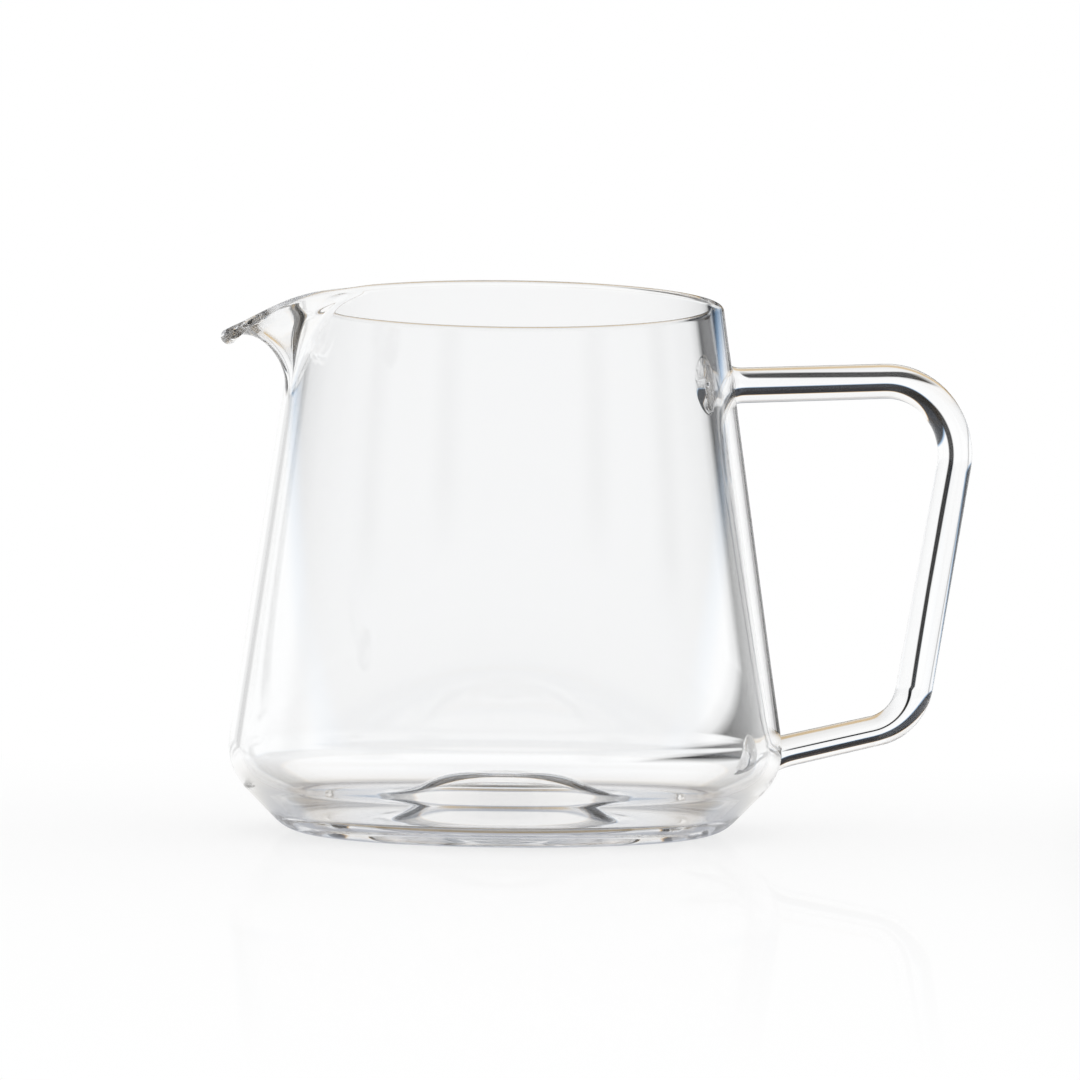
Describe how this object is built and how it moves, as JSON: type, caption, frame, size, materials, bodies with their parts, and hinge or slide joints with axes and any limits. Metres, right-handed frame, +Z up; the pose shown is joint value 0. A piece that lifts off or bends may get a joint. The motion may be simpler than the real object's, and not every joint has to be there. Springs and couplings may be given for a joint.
{
  "type": "glass coffee server",
  "caption": "Clear glass coffee server: conical blown jug with a spout drawn from its rim and a bent glass rod handle welded to its wall; no lid.",
  "frame": {"origin": "centre of the foot ring's land, on the plane of the table, on the jug's axis", "axes": "+Z up along the jug's axis, +X towards the handle, -X towards the spout; the XZ plane halves the spout and the handle"},
  "size_m": [0.1593, 0.11, 0.1051],
  "materials": {
    "jug_glass": "clear, fire-polished borosilicate",
    "rod_glass": "clear solid rod",
    "weld_glass": "clear, melted and smooth"
  },
  "bodies": {
    "root": {"glass_jug": "jug_glass", "handle_rod": "rod_glass", "upper_handle_weld": "weld_glass", "lower_handle_weld": "weld_glass"}
  },
  "joints": []
}
